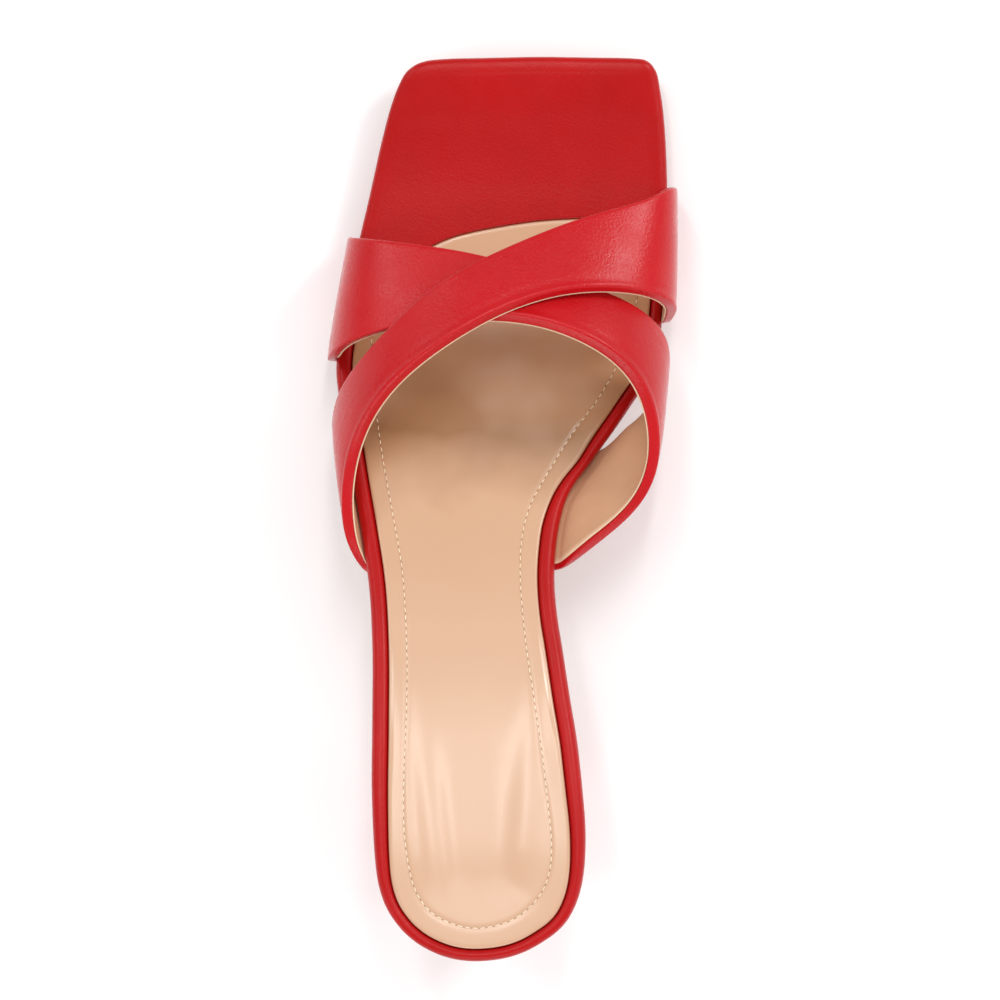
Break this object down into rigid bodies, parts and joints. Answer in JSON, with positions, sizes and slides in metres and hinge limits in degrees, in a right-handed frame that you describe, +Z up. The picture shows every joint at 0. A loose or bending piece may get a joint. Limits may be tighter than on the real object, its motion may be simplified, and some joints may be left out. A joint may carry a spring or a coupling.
{
  "type": "mule sandal",
  "caption": "Backless mule sandal with crossed padded leather straps, open toe, stitched sock lining and a covered block heel; left shoe.",
  "frame": {"origin": "middle of the shoe's bounding box, on the floor", "axes": "+Y towards the toe, +X towards the inner (medial) side of the foot, +Z up"},
  "size_m": [0.0914, 0.231, 0.0633],
  "materials": {
    "strap_leather": "smooth, soft sheen",
    "footbed_leather": "smooth, soft sheen",
    "heel_leather": "smooth, soft sheen",
    "sock_leather": "satin",
    "outsole_rubber": "matte",
    "top_piece_rubber": "matte"
  },
  "bodies": {
    "root": {"upper": "strap_leather", "footbed": "footbed_leather", "sock": "sock_leather", "outsole": "outsole_rubber", "heel": "heel_leather", "top_piece": "top_piece_rubber"}
  },
  "joints": []
}
